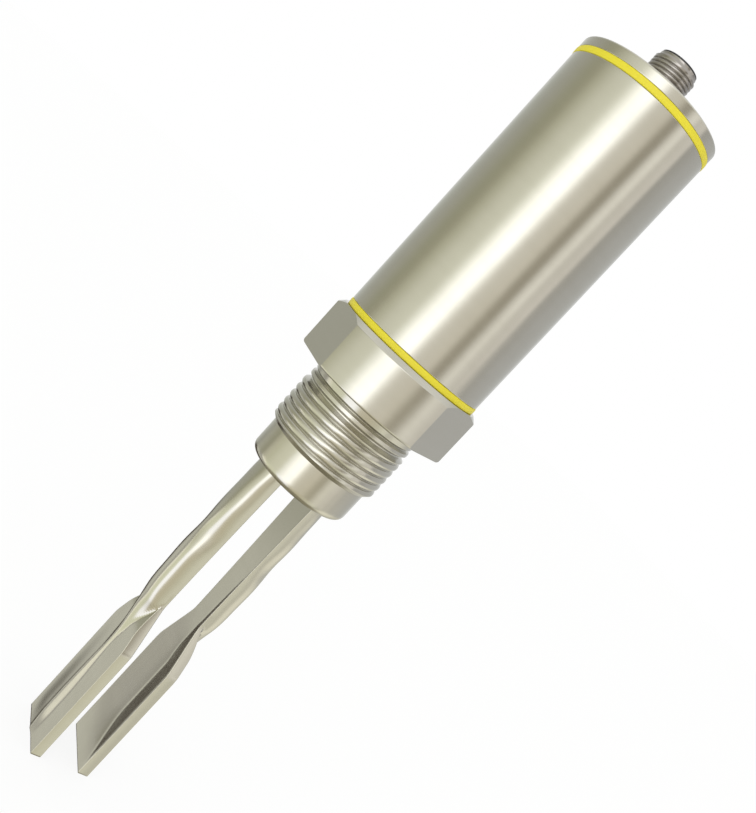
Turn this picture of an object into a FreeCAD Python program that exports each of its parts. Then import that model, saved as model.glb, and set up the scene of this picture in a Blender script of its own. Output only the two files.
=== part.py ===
import FreeCAD, Part
import math
import os

# Vibrating fork level switch with a G1 process thread and an M12 plug connector, in millimetres.
# The origin is the centre of the collar's underside, where the sealing face is. +Z runs towards
# the connector and +X passes through the right tine.

# Process connection: one piece with hexagonal collar, relief, thread, stack bore and spigot
thread_diameter = 33.25
thread_root_diameter = 30.29
thread_length = 13.5
relief_diameter = 31.6
relief_length = 5.5
collar_diameter = 46.0
collar_flats = 42.7
collar_flat_angle = 30.0
collar_height = 14.6
collar_top_chamfer = 1.4
collar_bottom_chamfer = 0.5
stack_bore_diameter = 22.0
carrier_seat_diameter = 33.0
carrier_seat_height = 8.0
spigot_height = 13.0

# Fork head: a cup whose floor is the diaphragm
head_diameter = 30.0
head_height = 9.6
head_edge_radius = 1.2
diaphragm_thickness = 1.6
head_register_height = 4.0
head_register_wall = 1.9
stack_boss_diameter = 10.0
stack_boss_height = 2.5

# Tines: a D shaped stem, flat on the inside, that is forged out into a broad dished blade
tine_length = 97.4
tine_gap = 11.5
root_width = 11.2
root_thickness = 5.2
stem_width = 9.6
stem_thickness = 6.2
waist_width = 8.7
waist_thickness = 5.9
stem_edge = 1.8
waist_distance = 43.4
shoulder_length = 17.6
shoulder_rounding = 14.0
shoulder_inset = 0.4
blade_width = 18.4
blade_edge = 2.7
blade_thickness = 3.3
blade_edge_rounding = 0.8
ridge_length = 22.0
ridge_end_width = 2.5
ridge_end_thickness = 3.2
dish_depth = 0.7
dish_border = 0.5
dish_waist_border = 1.0
dish_run_in = 8.0
dish_run_in_depth = 0.035

# How closely a measure has to agree where the tine's edges are picked by their place
match_tolerance = 0.01

# Housing tube, its two coloured flat gaskets and the cap
tube_diameter = 41.5
tube_wall = 1.5
tube_length = 78.0
gasket_thickness = 1.75
gasket_proud = 0.12
cap_height = 2.8
cap_edge_chamfer = 0.5
cap_plate_thickness = 4.0
cap_spigot_height = 8.0
cap_spigot_wall = 3.6
spigot_clearance = 0.1

# O rings, drawn squeezed in their grooves
o_ring_section = 1.6
o_ring_groove_width = 2.0
o_ring_corner = 0.4
groove_distance = 3.5

# M12 connector
connector_diameter = 12.0
connector_wall = 0.75
connector_height = 9.9
connector_nose_length = 1.3
connector_nose_chamfer = 0.55
connector_flange_diameter = 16.0
connector_flange_height = 1.8
connector_shank_length = 8.0
connector_hole_clearance = 0.1
carrier_rim_proud = 0.4
carrier_wall = 0.95
contact_floor_height = 1.2
contact_carrier_tail = 1.5
contact_pin_diameter = 1.0
contact_pin_circle = 4.6
contact_pin_setback = 1.6
contact_tail_length = 1.6
contact_count = 4
lock_nut_width = 17.0
lock_nut_height = 3.0
connector_ring_section = 1.2
connector_ring_groove = 1.0
connector_ring_corner = 0.25

# Piezo drive stack on the diaphragm's boss
stack_bolt_diameter = 5.0
stack_ring_diameter = 14.0
sleeve_wall = 0.6
sleeve_clearance = 0.1
insulator_thickness = 1.0
electrode_thickness = 0.2
electrode_tab_width = 1.6
piezo_thickness = 3.0
pressure_washer_thickness = 2.0
disc_spring_diameter = 12.0
disc_spring_thickness = 0.5
disc_spring_rise = 0.4
stack_nut_width = 8.0
stack_nut_height = 4.0
stack_bolt_projection = 1.2

# Leads from the stack to the board
lead_diameter = 1.2
lead_spacing = 3.5
lead_offset = 8.6
lead_guide_height = 5.0
lead_guide_setback = 2.0

# Electronics on one board, held by its two long edges in a moulded carrier
carrier_clearance = 0.1
carrier_base_height = 4.0
carrier_base_hole = 20.4
carrier_bridge_height = 2.0
carrier_bridge_hole = 17.0
carrier_bridge_wall_gap = 0.3
rail_width = 3.4
rail_depth = 5.0
board_seat_gap = 2.5
board_thickness = 1.6
board_engagement = 1.6
board_slot_clearance = 0.1
board_lift = 1.5
piezo_header_size = (12.0, 10.6, 6.0)
connector_header_size = (8.0, 8.0, 5.0)
connector_header_engagement = 2.5
connector_lead_length = 6.8
transformer_size = (13.0, 9.0, 12.0)
transformer_core_depth = 5.0
transformer_leg = 3.0
transformer_height = 24.0
capacitor_diameter = 8.0
capacitor_length = 11.0
capacitor_rail_gap = 1.9
capacitor_foot = 41.0
transistor_size = (10.0, 3.2, 9.0)
transistor_tab_thickness = 1.0
transistor_tab_length = 5.5
transistor_rail_gap = 0.9
transistor_foot = 37.0
processor_size = (10.0, 1.4, 10.0)
processor_place = (0.0, 26.0)
crystal_size = (10.0, 3.6, 4.0)
crystal_place = (0.0, 40.0)

# Heights that follow from the sizes above
thread_top = -relief_length
thread_bottom = thread_top - thread_length
head_bottom = thread_bottom - head_height
diaphragm_top = head_bottom + diaphragm_thickness
boss_top = diaphragm_top + stack_boss_height
tube_bottom = collar_height + gasket_thickness
tube_top = tube_bottom + tube_length
cap_bottom = tube_top + gasket_thickness
cap_top = cap_bottom + cap_height
cap_underside = cap_top - cap_plate_thickness
spigot_top = collar_height + spigot_height
flange_top = cap_top + connector_flange_height
connector_top = cap_top + connector_height
shank_bottom = cap_top - connector_shank_length
contact_floor = flange_top + contact_floor_height
carrier_tail = shank_bottom - contact_carrier_tail
pin_top = connector_top - contact_pin_setback
pin_bottom = carrier_tail - contact_tail_length
board_bottom = carrier_seat_height + carrier_base_height - board_lift
connector_header_top = pin_bottom - connector_lead_length
board_top = connector_header_top - connector_header_size[2] + connector_header_engagement
piezo_header_bottom = board_bottom + board_lift

# Radii that follow from the sizes above
tube_bore_radius = tube_diameter / 2 - tube_wall
spigot_radius = tube_bore_radius - spigot_clearance
stack_bore_radius = stack_bore_diameter / 2
register_bore_radius = stack_bore_radius + head_register_wall
barrel_radius = connector_diameter / 2
barrel_bore_radius = barrel_radius - connector_wall
pin_circle_radius = contact_pin_circle / 2
stack_hole_radius = stack_bolt_diameter / 2 + sleeve_wall + sleeve_clearance

# Widths and places on the board that follow from the carrier's seat
board_width = carrier_seat_diameter - 2 * board_seat_gap
rail_inner = board_width / 2 - board_engagement
capacitor_place = (capacitor_rail_gap + capacitor_diameter / 2 - rail_inner, capacitor_foot)
transistor_place = (rail_inner - transistor_rail_gap - transistor_size[0] / 2, transistor_foot)
lead_places = [(step * lead_spacing, lead_offset) for step in (-1, 0, 1)]


def turned(points):
    """A solid turned about Z from an outline of radius and height points."""
    corners = [FreeCAD.Vector(radius, 0, height) for radius, height in points]
    outline = Part.makePolygon(corners + corners[:1])
    return Part.Face(outline).revolve(FreeCAD.Vector(0, 0, 0), FreeCAD.Vector(0, 0, 1), 360)


def rod(radius, low, high, x=0.0, y=0.0):
    """An upright round bar between two heights."""
    return Part.makeCylinder(radius, high - low, FreeCAD.Vector(x, y, low))


def washer(outer_radius, inner_radius, low, high):
    """A flat ring between two heights."""
    return rod(outer_radius, low, high).cut(rod(inner_radius, low, high))


def block(size, low_corner):
    """A box from its size and lowest corner."""
    return Part.makeBox(size[0], size[1], size[2], FreeCAD.Vector(*low_corner))


def hexagon_bar(across_flats, low, high):
    """An upright hexagonal bar between two heights."""
    corner_radius = across_flats / math.sqrt(3)
    corners = []
    for step in range(6):
        angle = math.radians(60 * step)
        corners.append(FreeCAD.Vector(corner_radius * math.cos(angle), corner_radius * math.sin(angle), low))
    face = Part.Face(Part.makePolygon(corners + corners[:1]))
    return face.extrude(FreeCAD.Vector(0, 0, high - low))


def squeezed_ring(inner_radius, outer_radius, low, high, corner):
    """A rubber ring that fills its groove from floor to wall, with its corners rounded off."""
    return turned([
        (inner_radius, low + corner),
        (inner_radius + corner, low),
        (outer_radius - corner, low),
        (outer_radius, low + corner),
        (outer_radius, high - corner),
        (outer_radius - corner, high),
        (inner_radius + corner, high),
        (inner_radius, high - corner),
    ])


def groove_floor_radius():
    """Where an O ring's inner side lies, so that its outer side reaches the tube's bore."""
    return tube_bore_radius - o_ring_section


def process_connection():
    """The turned body: hollow for the drive stack, with six spanner flats and a grooved spigot."""
    collar_radius = collar_diameter / 2
    thread_radius = thread_diameter / 2
    root_radius = thread_root_diameter / 2
    relief_radius = relief_diameter / 2
    seat_radius = carrier_seat_diameter / 2
    lead_out = thread_radius - relief_radius
    end_chamfer = thread_radius - root_radius
    groove_low = collar_height + gasket_thickness + groove_distance
    body = turned([
        (register_bore_radius, thread_bottom),
        (root_radius, thread_bottom),
        (thread_radius, thread_bottom + end_chamfer),
        (thread_radius, thread_top - lead_out),
        (relief_radius, thread_top),
        (relief_radius, 0),
        (collar_radius - collar_bottom_chamfer, 0),
        (collar_radius, collar_bottom_chamfer),
        (collar_radius, collar_height - collar_top_chamfer),
        (collar_radius - collar_top_chamfer, collar_height),
        (spigot_radius, collar_height),
        (spigot_radius, groove_low),
        (groove_floor_radius(), groove_low),
        (groove_floor_radius(), groove_low + o_ring_groove_width),
        (spigot_radius, groove_low + o_ring_groove_width),
        (spigot_radius, spigot_top),
        (seat_radius, spigot_top),
        (seat_radius, carrier_seat_height),
        (stack_bore_radius, carrier_seat_height),
        (stack_bore_radius, thread_bottom + head_register_height),
        (register_bore_radius, thread_bottom + head_register_height),
    ])
    spanner = hexagon_bar(collar_flats, thread_bottom, spigot_top)
    spanner.rotate(FreeCAD.Vector(0, 0, 0), FreeCAD.Vector(0, 0, 1), collar_flat_angle)
    return body.common(spanner)


def fork_head():
    """The cup that closes the body: diaphragm floor, stack boss and a register that enters the bore."""
    radius = head_diameter / 2
    edge = head_edge_radius
    bevel = edge * (1 - math.sqrt(0.5))
    boss_radius = stack_boss_diameter / 2
    bolt_radius = stack_bolt_diameter / 2
    register_top = thread_bottom + head_register_height
    return turned([
        (0, diaphragm_top),
        (bolt_radius, diaphragm_top),
        (bolt_radius, boss_top),
        (boss_radius, boss_top),
        (boss_radius, diaphragm_top),
        (stack_bore_radius, diaphragm_top),
        (stack_bore_radius, register_top),
        (register_bore_radius, register_top),
        (register_bore_radius, thread_bottom),
        (radius, thread_bottom),
        (radius, head_bottom + edge),
        (radius - bevel, head_bottom + bevel),
        (radius - edge, head_bottom),
        (0, head_bottom),
    ])


def tine_section(distance, width, edge, thickness):
    """A cross section of the right tine: flat inner face, two sides and a crowned outer face."""
    height = head_bottom - distance
    inner = tine_gap / 2
    half = width / 2
    inner_front = FreeCAD.Vector(inner, -half, height)
    inner_back = FreeCAD.Vector(inner, half, height)
    outer_back = FreeCAD.Vector(inner + edge, half, height)
    outer_front = FreeCAD.Vector(inner + edge, -half, height)
    crown = FreeCAD.Vector(inner + thickness, 0, height)
    return Part.Wire([
        Part.makeLine(inner_front, inner_back),
        Part.makeLine(inner_back, outer_back),
        Part.Arc(outer_back, crown, outer_front).toShape(),
        Part.makeLine(outer_front, inner_front),
    ])


def tine_stem():
    """The D shaped stem, broad at the root and narrowing to its waist."""
    return Part.makeLoft([
        tine_section(0, root_width, stem_edge, root_thickness),
        tine_section(waist_distance / 2, stem_width, stem_edge, stem_thickness),
        tine_section(waist_distance, waist_width, stem_edge, waist_thickness),
    ], True, False, False, 3)


def tine_ridge():
    """The stem's crown running out in a wedge down the back of the blade."""
    return Part.makeLoft([
        tine_section(waist_distance, waist_width, stem_edge, waist_thickness),
        tine_section(waist_distance + ridge_length, ridge_end_width, stem_edge, ridge_end_thickness),
    ], True, True)


def same(one, other):
    """Whether two measures agree closely enough to be the same place on the tine."""
    return abs(one - other) < match_tolerance


def shouldered_outline():
    """The blade's front outline as a thick plate: straight sides below two sloping shoulders."""
    waist_height = head_bottom - waist_distance
    shoulder_height = waist_height - shoulder_length
    tip_height = head_bottom - tine_length
    waist_half = waist_width / 2 - shoulder_inset
    blade_half = blade_width / 2
    side = [
        (waist_half, waist_height + shoulder_length),
        (waist_half, waist_height),
        (blade_half, shoulder_height),
        (blade_half, tip_height),
    ]
    outline = side + [(-y, z) for y, z in reversed(side)]
    corners = [FreeCAD.Vector(0, y, z) for y, z in outline]
    face = Part.Face(Part.makePolygon(corners + corners[:1]))
    plate = face.extrude(FreeCAD.Vector(tine_gap / 2 + 2 * blade_thickness, 0, 0))
    rounded = []
    for edge in plate.Edges:
        start, end = (vertex.Point for vertex in edge.Vertexes)
        at_corner = same(start.z, waist_height) or same(start.z, shoulder_height)
        if at_corner and same(start.z, end.z) and same(start.y, end.y):
            rounded.append(edge)
    return plate.makeFillet(shoulder_rounding, rounded)


def tine_blade():
    """The forged blade with its shoulders, its outer long edges rounded."""
    section = tine_section(waist_distance, blade_width, blade_edge, blade_thickness)
    bar = Part.Face(section).extrude(FreeCAD.Vector(0, 0, waist_distance - tine_length))
    blade = bar.common(shouldered_outline()).Solids[0]
    outer = tine_gap / 2 + blade_edge / 2
    tip_height = head_bottom - tine_length
    top_height = head_bottom - waist_distance
    long_edges = []
    for edge in blade.Edges:
        middle = edge.valueAt((edge.FirstParameter + edge.LastParameter) / 2)
        at_end = same(middle.z, tip_height) or same(middle.z, top_height)
        if middle.x > outer and not at_end:
            long_edges.append(edge)
    return blade.makeFillet(blade_edge_rounding, long_edges)


def dish_section(distance, width, depth):
    """A cross section of the shallow hollow in the tine's inner face."""
    height = head_bottom - distance
    inner = tine_gap / 2
    half = width / 2
    front = FreeCAD.Vector(inner, -half, height)
    back = FreeCAD.Vector(inner, half, height)
    corners = [back, FreeCAD.Vector(0, half, height), FreeCAD.Vector(0, -half, height), front]
    arc = Part.Arc(front, FreeCAD.Vector(inner + depth, 0, height), back).toShape()
    return Part.Wire([arc] + Part.makePolygon(corners).Edges)


def tine_dish():
    """The hollow that starts above the waist and runs out through the tip."""
    waist_hollow = waist_width - 2 * dish_waist_border
    blade_hollow = blade_width - 2 * dish_border
    return Part.makeLoft([
        dish_section(waist_distance - dish_run_in, waist_hollow, dish_run_in_depth),
        dish_section(waist_distance + shoulder_length, blade_hollow, dish_depth),
        dish_section(tine_length + dish_border, blade_hollow, dish_depth),
    ], True, True)


def right_tine():
    """The forged tine from its root on the diaphragm to its square cut tip."""
    tine = tine_stem().fuse([tine_ridge(), tine_blade()]).removeSplitter()
    return tine.cut(tine_dish()).Solids[0]


def left_tine():
    """The right tine mirrored across the fork's middle plane."""
    return right_tine().mirror(FreeCAD.Vector(0, 0, 0), FreeCAD.Vector(1, 0, 0))


def flat_gasket(low):
    """A coloured flat ring that sits round the spigot and shows as a line on the outside."""
    return washer(tube_diameter / 2 + gasket_proud, spigot_radius, low, low + gasket_thickness)


def housing_tube():
    """The plain drawn tube between the two gaskets."""
    return washer(tube_diameter / 2, tube_bore_radius, tube_bottom, tube_top)


def top_cap():
    """The turned cap: a flat disc with a grooved spigot that enters the tube."""
    radius = tube_diameter / 2
    hole_radius = barrel_radius + connector_hole_clearance
    skirt_radius = spigot_radius - cap_spigot_wall
    spigot_low = cap_bottom - cap_spigot_height
    groove_low = tube_top - groove_distance
    groove_high = groove_low + o_ring_groove_width
    return turned([
        (hole_radius, cap_underside),
        (skirt_radius, cap_underside),
        (skirt_radius, spigot_low),
        (spigot_radius, spigot_low),
        (spigot_radius, groove_low),
        (groove_floor_radius(), groove_low),
        (groove_floor_radius(), groove_high),
        (spigot_radius, groove_high),
        (spigot_radius, cap_bottom),
        (radius, cap_bottom),
        (radius, cap_top - cap_edge_chamfer),
        (radius - cap_edge_chamfer, cap_top),
        (hole_radius, cap_top),
    ])


def spigot_ring(groove_low):
    """An O ring squeezed between a spigot's groove and the tube."""
    high = groove_low + o_ring_groove_width
    return squeezed_ring(groove_floor_radius(), tube_bore_radius, groove_low, high, o_ring_corner)


def connector_shell():
    """The turned plug shell: chamfered nose, threaded barrel, flange and shank, with a ring groove."""
    flange_radius = connector_flange_diameter / 2
    nose_radius = barrel_radius - connector_nose_chamfer
    groove_outer = barrel_radius + connector_hole_clearance + connector_ring_section
    return turned([
        (barrel_bore_radius, shank_bottom),
        (barrel_radius, shank_bottom),
        (barrel_radius, cap_top + connector_ring_groove),
        (groove_outer, cap_top + connector_ring_groove),
        (groove_outer, cap_top),
        (flange_radius, cap_top),
        (flange_radius, flange_top),
        (barrel_radius, flange_top),
        (barrel_radius, connector_top - connector_nose_length),
        (nose_radius, connector_top - connector_nose_length + connector_nose_chamfer),
        (nose_radius, connector_top),
        (barrel_bore_radius, connector_top),
    ])


def connector_ring():
    """The O ring under the connector's flange."""
    outer = barrel_radius + connector_hole_clearance + connector_ring_section
    high = cap_top + connector_ring_groove
    return squeezed_ring(barrel_radius, outer, cap_top, high, connector_ring_corner)


def connector_lock_nut():
    """The hexagonal nut that draws the connector down from inside the cap."""
    nut = hexagon_bar(lock_nut_width, cap_underside - lock_nut_height, cap_underside)
    return nut.cut(rod(barrel_radius, cap_underside - lock_nut_height, cap_underside))


def contact_places():
    """The centres of the contact pins on their circle."""
    places = []
    for step in range(contact_count):
        angle = math.radians(45) + 2 * math.pi * step / contact_count
        places.append((pin_circle_radius * math.cos(angle), pin_circle_radius * math.sin(angle)))
    return places


def contact_carrier():
    """The black moulded cup that lines the shell and holds the pins, with a coding key on its wall."""
    cavity_radius = barrel_bore_radius - carrier_wall
    rim = connector_top + carrier_rim_proud
    body = turned([
        (0, carrier_tail),
        (barrel_bore_radius, carrier_tail),
        (barrel_bore_radius, rim),
        (cavity_radius, rim),
        (cavity_radius, contact_floor),
        (0, contact_floor),
    ])
    key_width = carrier_wall
    key_low = (cavity_radius - key_width / 2, -key_width / 2, contact_floor)
    key = block((key_width, key_width, connector_top - contact_floor), key_low)
    body = body.fuse(key).removeSplitter()
    for x, y in contact_places():
        body = body.cut(rod(contact_pin_diameter / 2, carrier_tail, contact_floor, x, y))
    return body


def contact_pin(x, y):
    """One round contact pin with a rounded off tip."""
    radius = contact_pin_diameter / 2
    tip = radius / 2
    shank = rod(radius, pin_bottom, pin_top - tip, x, y)
    nose = Part.makeCone(radius, radius - tip, tip, FreeCAD.Vector(x, y, pin_top - tip))
    return shank.fuse(nose).removeSplitter()


def stack_levels():
    """The height of each layer of the drive stack, from the boss upwards."""
    layers = [
        ("lower_insulator", insulator_thickness),
        ("electrode_drive", electrode_thickness),
        ("piezo_ring_drive", piezo_thickness),
        ("electrode_common", electrode_thickness),
        ("piezo_ring_sense", piezo_thickness),
        ("electrode_sense", electrode_thickness),
        ("upper_insulator", insulator_thickness),
        ("pressure_washer", pressure_washer_thickness),
        ("disc_spring", disc_spring_thickness + disc_spring_rise),
        ("stack_nut", stack_nut_height),
    ]
    levels = {}
    height = boss_top
    for name, thickness in layers:
        levels[name] = (height, height + thickness)
        height += thickness
    return levels


def stack_ring(name):
    """A plain ring of the stack: insulator, piezo ceramic or pressure washer."""
    low, high = stack_levels()[name]
    return washer(stack_ring_diameter / 2, stack_hole_radius, low, high)


def stack_electrode(name, place):
    """A thin brass ring with a tab that reaches out under its lead."""
    low, high = stack_levels()[name]
    reach = math.hypot(*place) + lead_diameter / 2
    turn = math.degrees(math.atan2(place[1], place[0]))
    tab = block((reach, electrode_tab_width, high - low), (0, -electrode_tab_width / 2, low))
    tab.rotate(FreeCAD.Vector(0, 0, 0), FreeCAD.Vector(0, 0, 1), turn)
    ring = rod(stack_ring_diameter / 2, low, high).fuse(tab).removeSplitter()
    return ring.cut(rod(stack_hole_radius, low, high))


def insulating_sleeve():
    """The thin tube that keeps the electrodes off the bolt."""
    low = stack_levels()["lower_insulator"][0]
    high = stack_levels()["pressure_washer"][0]
    bolt_radius = stack_bolt_diameter / 2
    return washer(bolt_radius + sleeve_wall, bolt_radius, low, high)


def disc_spring():
    """The conical spring washer under the nut."""
    low, high = stack_levels()["disc_spring"]
    outer = disc_spring_diameter / 2
    inner = stack_bolt_diameter / 2
    return turned([
        (inner, high - disc_spring_thickness),
        (outer, low),
        (outer, low + disc_spring_thickness),
        (inner, high),
    ])


def stack_nut():
    """The hexagonal nut that clamps the stack."""
    low, high = stack_levels()["stack_nut"]
    return hexagon_bar(stack_nut_width, low, high).cut(rod(stack_bolt_diameter / 2, low, high))


def stack_bolt():
    """The stud screwed into the diaphragm's boss."""
    top = stack_levels()["stack_nut"][1] + stack_bolt_projection
    return rod(stack_bolt_diameter / 2, diaphragm_top, top)


def pressure_washer():
    """The steel washer that spreads the spring's force, bored to clear the stud."""
    low, high = stack_levels()["pressure_washer"]
    return washer(stack_ring_diameter / 2, stack_bolt_diameter / 2, low, high)


def piezo_lead(name, place):
    """One insulated lead from an electrode's tab up to the board's lower header."""
    return rod(lead_diameter / 2, stack_levels()[name][1], piezo_header_bottom, place[0], place[1])


def lead_guide():
    """The rubber plug that seals the bore round the leads."""
    high = carrier_seat_height - lead_guide_setback
    low = high - lead_guide_height
    plug = rod(stack_bore_radius, low, high)
    for x, y in lead_places:
        plug = plug.cut(rod(lead_diameter / 2, low, high, x, y))
    return plug


def board_carrier():
    """The moulded frame: base ring, two slotted rails and a top ring."""
    base_low = carrier_seat_height
    base_high = base_low + carrier_base_height
    base_radius = carrier_seat_diameter / 2 - carrier_clearance
    bridge_radius = tube_bore_radius - carrier_bridge_wall_gap
    bridge_high = board_top + carrier_bridge_height
    frame = washer(base_radius, carrier_base_hole / 2, base_low, base_high)
    frame = frame.fuse(washer(bridge_radius, carrier_bridge_hole / 2, board_top, bridge_high))
    slot_depth = board_thickness + 2 * board_slot_clearance
    for side in (-1, 1):
        low_x = rail_inner if side > 0 else -rail_inner - rail_width
        rail = block((rail_width, rail_depth, board_top - base_low), (low_x, -rail_depth / 2, base_low))
        frame = frame.fuse(rail)
    slot_size = (board_width, slot_depth, board_top - board_bottom)
    slot = block(slot_size, (-board_width / 2, -slot_depth / 2, board_bottom))
    return frame.cut(slot).removeSplitter()


def main_board():
    """The printed circuit board, standing in the carrier's rails."""
    size = (board_width, board_thickness, board_top - board_bottom)
    return block(size, (-board_width / 2, -board_thickness / 2, board_bottom))


def on_board(size, place, side):
    """A box shaped component on the board's front or back face, placed by x and height above its foot."""
    x, height = place
    low_y = board_thickness / 2 if side > 0 else -board_thickness / 2 - size[1]
    return block(size, (x - size[0] / 2, low_y, board_bottom + height))


def piezo_header():
    """The socket block at the board's foot where the stack's leads end."""
    return on_board(piezo_header_size, (0, board_lift), 1)


def connector_header():
    """The socket block that straddles the board's upper edge under the connector."""
    width, depth, height = connector_header_size
    low = connector_header_top - height
    header = block((width, depth, height), (-width / 2, -depth / 2, low))
    slot_size = (width, board_thickness, connector_header_engagement)
    return header.cut(block(slot_size, (-width / 2, -board_thickness / 2, low)))


def transformer_block(width, depth, height):
    """A block centred on the transformer's middle, which stands off the board's front face."""
    middle_y = board_thickness / 2 + transformer_size[1] / 2
    middle_z = board_bottom + transformer_height + transformer_size[2] / 2
    return block((width, depth, height), (-width / 2, middle_y - depth / 2, middle_z - height / 2))


def transformer_core():
    """The ferrite core: a frame with a middle leg, lifted off the board by its winding."""
    width, depth, height = transformer_size
    window_height = height - 2 * transformer_leg
    windows = transformer_block(width - 2 * transformer_leg, depth, window_height)
    leg = transformer_block(transformer_leg, transformer_core_depth, window_height)
    outline = transformer_block(width, transformer_core_depth, height)
    return outline.cut(windows).fuse(leg).removeSplitter()


def transformer_winding():
    """The copper winding wrapped round the core's middle leg."""
    width, depth, height = transformer_size
    window_height = height - 2 * transformer_leg
    coil = transformer_block(width - 2 * transformer_leg, depth, window_height)
    return coil.cut(transformer_block(transformer_leg, transformer_core_depth, window_height))


def smoothing_capacitor():
    """The can capacitor, standing off the board's front face."""
    x, height = capacitor_place
    foot = FreeCAD.Vector(x, board_thickness / 2, board_bottom + height + capacitor_diameter / 2)
    return Part.makeCylinder(capacitor_diameter / 2, capacitor_length, foot, FreeCAD.Vector(0, 1, 0))


def output_transistor():
    """The output transistor: moulded body on a longer metal tab, flat against the board."""
    tab_size = (transistor_size[0], transistor_tab_thickness, transistor_size[2] + transistor_tab_length)
    tab = on_board(tab_size, transistor_place, 1)
    return tab.fuse(on_board(transistor_size, transistor_place, 1)).removeSplitter()


def connector_lead(x, y):
    """One lead from a contact pin's tail down to the upper header."""
    return rod(lead_diameter / 2, connector_header_top, pin_bottom, x, y)


def all_pieces():
    """Every piece of the switch under its own name."""
    lower_groove = collar_height + gasket_thickness + groove_distance
    upper_groove = tube_top - groove_distance
    pieces = {
        "process_connection": process_connection(),
        "fork_head": fork_head(),
        "tine_left": left_tine(),
        "tine_right": right_tine(),
        "lower_gasket": flat_gasket(collar_height),
        "upper_gasket": flat_gasket(tube_top),
        "housing_tube": housing_tube(),
        "top_cap": top_cap(),
        "lower_o_ring": spigot_ring(lower_groove),
        "upper_o_ring": spigot_ring(upper_groove),
        "connector_shell": connector_shell(),
        "connector_o_ring": connector_ring(),
        "connector_lock_nut": connector_lock_nut(),
        "contact_carrier": contact_carrier(),
        "lower_insulator": stack_ring("lower_insulator"),
        "piezo_ring_drive": stack_ring("piezo_ring_drive"),
        "piezo_ring_sense": stack_ring("piezo_ring_sense"),
        "upper_insulator": stack_ring("upper_insulator"),
        "insulating_sleeve": insulating_sleeve(),
        "pressure_washer": pressure_washer(),
        "disc_spring": disc_spring(),
        "stack_nut": stack_nut(),
        "stack_bolt": stack_bolt(),
        "lead_guide": lead_guide(),
        "board_carrier": board_carrier(),
        "main_board": main_board(),
        "piezo_header": piezo_header(),
        "connector_header": connector_header(),
        "transformer_core": transformer_core(),
        "transformer_winding": transformer_winding(),
        "smoothing_capacitor": smoothing_capacitor(),
        "output_transistor": output_transistor(),
        "processor": on_board(processor_size, processor_place, -1),
        "crystal": on_board(crystal_size, crystal_place, -1),
    }
    electrodes = ("electrode_drive", "electrode_common", "electrode_sense")
    for name, place in zip(electrodes, lead_places):
        pieces[name] = stack_electrode(name, place)
        pieces[name.replace("electrode", "piezo_lead")] = piezo_lead(name, place)
    for number, (x, y) in enumerate(contact_places(), 1):
        pieces[f"contact_pin_{number}"] = contact_pin(x, y)
        pieces[f"connector_lead_{number}"] = connector_lead(x, y)
    return pieces


os.makedirs("parts", exist_ok=True)
for node, shape in all_pieces().items():
    shape.exportStep(f"parts/{node}.step")
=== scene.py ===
import math
import bmesh
import bpy
from mathutils import Matrix, Vector


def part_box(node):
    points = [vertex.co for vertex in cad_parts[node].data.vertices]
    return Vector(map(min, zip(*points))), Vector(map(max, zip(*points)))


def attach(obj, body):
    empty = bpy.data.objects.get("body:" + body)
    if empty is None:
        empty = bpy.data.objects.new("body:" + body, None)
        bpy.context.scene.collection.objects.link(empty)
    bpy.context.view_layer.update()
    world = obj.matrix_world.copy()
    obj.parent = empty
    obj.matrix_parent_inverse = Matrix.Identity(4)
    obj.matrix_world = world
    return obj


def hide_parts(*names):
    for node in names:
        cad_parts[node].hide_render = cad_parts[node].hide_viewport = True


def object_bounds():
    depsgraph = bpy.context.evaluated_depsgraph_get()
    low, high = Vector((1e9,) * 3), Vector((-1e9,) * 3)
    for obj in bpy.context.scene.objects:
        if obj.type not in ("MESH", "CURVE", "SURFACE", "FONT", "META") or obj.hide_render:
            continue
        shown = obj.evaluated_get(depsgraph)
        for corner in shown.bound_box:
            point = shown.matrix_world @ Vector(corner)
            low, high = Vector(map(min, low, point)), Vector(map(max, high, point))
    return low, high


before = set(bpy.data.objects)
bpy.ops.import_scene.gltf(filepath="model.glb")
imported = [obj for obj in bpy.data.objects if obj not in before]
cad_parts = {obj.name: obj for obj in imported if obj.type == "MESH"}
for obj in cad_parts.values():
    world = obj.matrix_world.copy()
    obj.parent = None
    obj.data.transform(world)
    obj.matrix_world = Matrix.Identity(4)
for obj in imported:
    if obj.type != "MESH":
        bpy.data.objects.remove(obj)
cad_low, cad_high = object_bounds()
MM = 0.001


# Camera: it stands beside the left tine, a little above the collar, and is rolled so that the
# upright switch leans across the picture from the blades at the lower left to the plug.
camera_distance = 239.7 * MM
camera_height = 32.0 * MM
camera_azimuth = math.radians(-30.0)
camera_yaw = math.radians(-0.55)
camera_pitch = math.radians(-7.6)
camera_roll = math.radians(42.7)

camera_data = bpy.data.cameras.new("camera")
camera_data.lens = 42.32
camera_data.clip_start = 10 * MM
camera = bpy.data.objects.new("camera", camera_data)
bpy.context.scene.collection.objects.link(camera)
camera_place = (
    camera_distance * math.sin(camera_azimuth),
    -camera_distance * math.cos(camera_azimuth),
    camera_height,
)
camera.matrix_world = (
    Matrix.Translation(camera_place)
    @ Matrix.Rotation(camera_azimuth + camera_yaw, 4, "Z")
    @ Matrix.Rotation(math.pi / 2 + camera_pitch, 4, "X")
    @ Matrix.Rotation(camera_roll, 4, "Z")
)
bpy.context.scene.camera = camera
bpy.context.scene.view_settings.view_transform = "Standard"


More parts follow.
